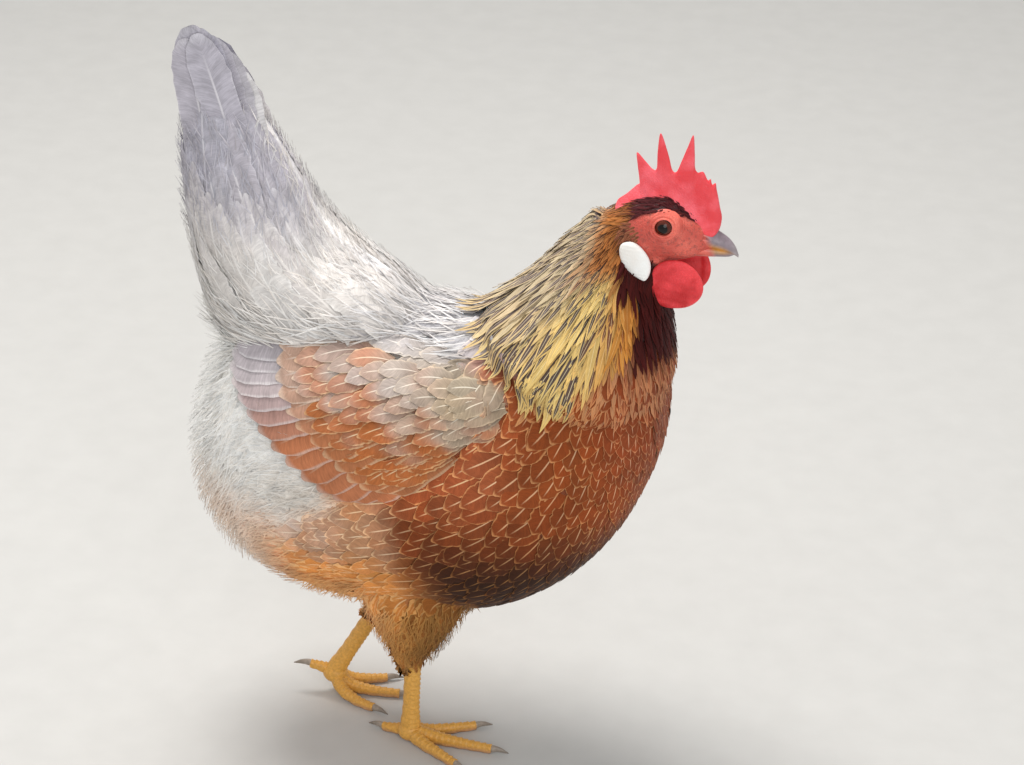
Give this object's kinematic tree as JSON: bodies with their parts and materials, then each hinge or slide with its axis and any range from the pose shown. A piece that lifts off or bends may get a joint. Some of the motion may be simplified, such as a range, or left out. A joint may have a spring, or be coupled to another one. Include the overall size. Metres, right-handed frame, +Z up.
{
  "type": "leghorn hen figure",
  "caption": "Still, life-size model of a light brown leghorn hen walking, with an upright tail, a toothed red comb and scaled yellow legs.",
  "frame": {"origin": "on the floor, at the middle of the box round the whole bird", "axes": "+X the way the hen faces, +Z up, its right side towards -Y"},
  "size_m": [0.3271, 0.1546, 0.4572],
  "materials": {
    "breast_plumage": "soft salmon brown body feathers",
    "hackle_plumage": "soft golden cream feathers with grey centres",
    "wing_plumage": "salmon and pale grey feathers",
    "tail_plumage": "pale grey feathers",
    "thigh_plumage": "fluffy orange brown feathers",
    "face_skin": "coral skin",
    "red_skin": "bright red waxy skin",
    "white_skin": "smooth white skin",
    "bill_horn": "satin horn",
    "eye": "wet gloss",
    "leg_skin": "yellow scaled skin",
    "claw_horn": "satin horn"
  },
  "bodies": {
    "root": {"torso": "breast_plumage", "neck": "hackle_plumage", "head": "face_skin", "eye_right": "eye", "eye_left": "eye", "bill_upper": "bill_horn", "bill_lower": "bill_horn", "comb": "red_skin", "wattle_right": "red_skin", "wattle_left": "red_skin", "ear_lobe_right": "white_skin", "ear_lobe_left": "white_skin", "tail": "tail_plumage", "wing_right": "wing_plumage", "wing_left": "wing_plumage", "thigh_right": "thigh_plumage", "shank_right": "leg_skin", "foot_right": "leg_skin", "claw_right_inner": "claw_horn", "claw_right_middle": "claw_horn", "claw_right_outer": "claw_horn", "claw_right_hind": "claw_horn", "thigh_left": "thigh_plumage", "shank_left": "leg_skin", "foot_left": "leg_skin", "claw_left_inner": "claw_horn", "claw_left_middle": "claw_horn", "claw_left_outer": "claw_horn", "claw_left_hind": "claw_horn"}
  },
  "joints": []
}
